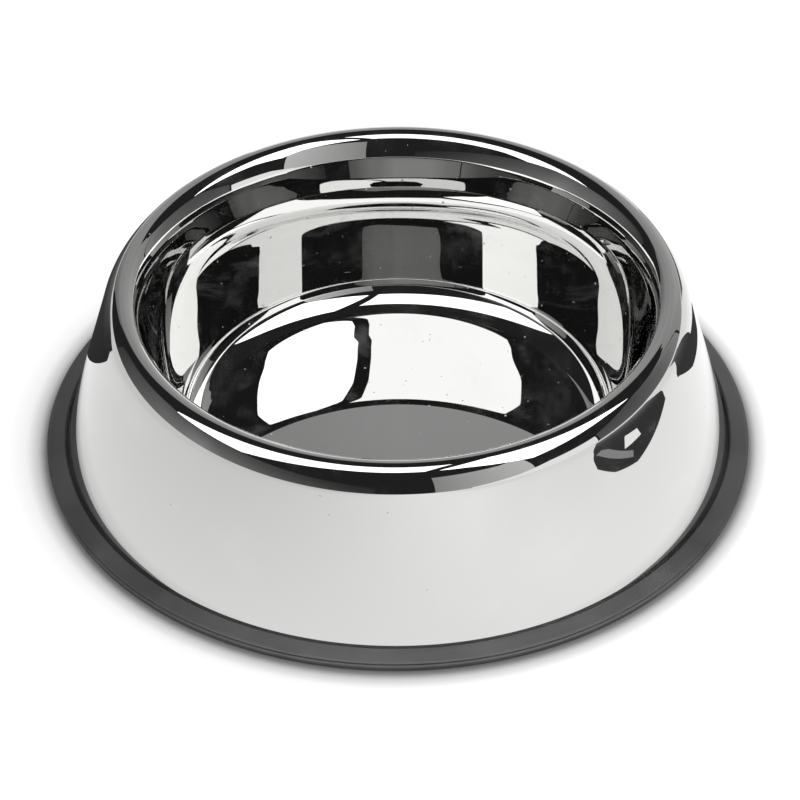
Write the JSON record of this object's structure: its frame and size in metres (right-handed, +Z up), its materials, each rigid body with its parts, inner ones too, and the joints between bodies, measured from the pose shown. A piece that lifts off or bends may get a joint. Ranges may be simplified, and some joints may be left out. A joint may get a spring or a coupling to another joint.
{
  "type": "stainless dog bowl",
  "caption": "Round non-tip stainless feeding bowl: straight-walled inner bowl, rounded rim, flared outer skirt and a dark non-slip rubber ring round the wide foot.",
  "frame": {"origin": "centre of the foot, on the surface that the bowl stands on", "axes": "+Z up along the axis of the bowl, which is the same all round"},
  "size_m": [0.23, 0.23, 0.061],
  "materials": {
    "bowl_steel": "mirror-polished stainless steel",
    "skirt_steel": "mirror-polished stainless steel",
    "ring_rubber": "matte moulded rubber"
  },
  "bodies": {
    "root": {"inner_bowl": "bowl_steel", "outer_skirt": "skirt_steel", "rubber_ring": "ring_rubber"}
  },
  "joints": []
}
